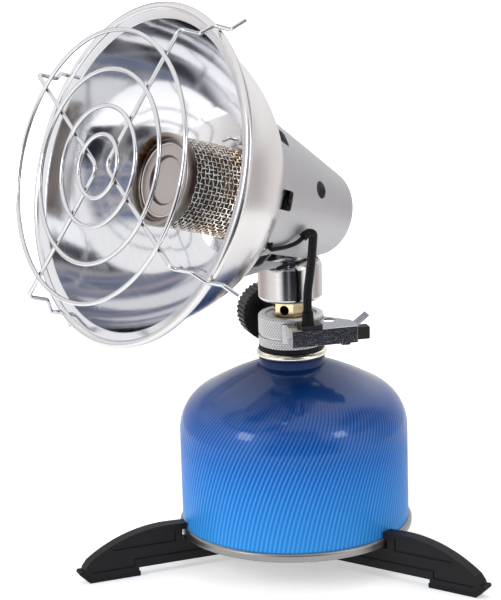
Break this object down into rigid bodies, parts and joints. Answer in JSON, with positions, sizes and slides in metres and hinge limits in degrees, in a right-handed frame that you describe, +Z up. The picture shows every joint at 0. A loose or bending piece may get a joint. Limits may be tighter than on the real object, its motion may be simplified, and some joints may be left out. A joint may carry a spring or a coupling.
{
  "type": "portable propane heater",
  "caption": "Radiant gas heater: dish reflector with mesh burner and wire guard, tapered rear housing and piezo igniter, screwed on a gas cartridge in a folding tripod stand.",
  "frame": {"origin": "on the cartridge's axis at floor level, the middle of the stand", "axes": "+Z up along the cartridge, the reflector faces -Y and tilts upward"},
  "size_m": [0.1829, 0.2063, 0.2709],
  "materials": {
    "cartridge_paint": "metallic blue lacquer, darker towards the shoulder, with fine slanted pinstripes",
    "seam_steel": "bare rolled seam",
    "valve_cup": "gold lacquer",
    "boss": "machined",
    "leg_plastic": "moulded black",
    "pad_rubber": "matt black",
    "rivet_steel": "zinc plated",
    "seal_rubber": "matt black",
    "body_aluminium": "satin, diamond knurl",
    "brass_hex": "machined bright",
    "spindle_steel": "turned",
    "knob_plastic": "moulded black, lighter ribs",
    "cup_chrome": "bright",
    "tube_steel": "drawn",
    "bracket_steel": "satin",
    "piezo_plastic": "moulded black",
    "lead_rubber": "matt black",
    "ceramic": "glazed",
    "dish_aluminium": "spun and polished",
    "housing_steel": "satin plated",
    "burner_steel": "stainless, heat-tinted",
    "mesh_steel": "woven heat-resisting wire",
    "grille_chrome": "plated wire"
  },
  "bodies": {
    "cartridge": {"cartridge_body": "cartridge_paint", "cartridge_base": "seam_steel", "cartridge_valve_cup": "valve_cup", "cartridge_boss": "boss", "leg_rear": "leg_plastic", "foot_pad_rear": "pad_rubber", "stand_rivet": "rivet_steel"},
    "front_leg": {"leg_front": "leg_plastic", "foot_pad_front": "pad_rubber"},
    "right_leg": {"leg_right": "leg_plastic", "foot_pad_right": "pad_rubber"},
    "seal": {"seal_ring": "seal_rubber"},
    "heater": {"valve_body": "body_aluminium", "push_pin": "brass_hex", "jet_holder": "brass_hex", "gas_jet": "brass_hex", "valve_gland": "brass_hex", "neck_cup": "cup_chrome", "mixing_tube": "tube_steel", "saddle_bracket": "bracket_steel", "saddle_rivet_rear": "rivet_steel", "saddle_rivet_front": "rivet_steel", "piezo_bracket": "bracket_steel", "piezo_unit": "piezo_plastic", "piezo_terminal": "piezo_plastic", "terminal_boot": "lead_rubber", "lead_sleeve": "lead_rubber", "ignition_lead": "lead_rubber", "electrode_ceramic": "ceramic", "electrode_wire": "spindle_steel", "reflector_dish": "dish_aluminium", "rear_housing": "housing_steel", "burner_base": "burner_steel", "burner_mesh": "mesh_steel", "burner_liner": "burner_steel", "burner_cap": "burner_steel", "grille_ring_outer": "grille_chrome", "grille_ring_second": "grille_chrome", "grille_ring_third": "grille_chrome", "grille_ring_inner": "grille_chrome", "grille_spoke_left": "grille_chrome", "grille_spoke_right": "grille_chrome"},
    "knob": {"valve_knob": "knob_plastic", "valve_spindle": "spindle_steel"},
    "button": {"piezo_button": "piezo_plastic"}
  },
  "joints": [
    {"name": "front_leg_fold", "type": "hinge", "parent": "cartridge", "child": "front_leg", "pos_m": [0, 0, 0.009], "axis": [0, 0, 1], "range_deg": [-100, 0]},
    {"name": "right_leg_fold", "type": "hinge", "parent": "cartridge", "child": "right_leg", "pos_m": [0, 0, 0.012], "axis": [0, 0, 1], "range_deg": [0, 100]},
    {"name": "heater_lift", "type": "slide", "parent": "cartridge", "child": "seal", "axis": [0, 0, 1], "range_m": [0, 0.00363]},
    {"name": "heater_turn", "type": "hinge", "parent": "seal", "child": "heater", "pos_m": [0, 0, 0.11], "axis": [0, 0, 1], "range_deg": [0, 1440]},
    {"name": "valve_turn", "type": "hinge", "parent": "heater", "child": "knob", "pos_m": [0, 0, 0.112], "axis": [-0.9426, 0.3338, 0], "range_deg": [0, 540]},
    {"name": "igniter_push", "type": "slide", "parent": "heater", "child": "button", "axis": [-0.4019, -0.9157, 0], "range_m": [0, 0.0045], "stiffness_N_per_m": 1500}
  ],
  "couplings": [
    {"joint": "heater_lift", "follows": "heater_turn", "m_per_rad": 0.00014435}
  ]
}
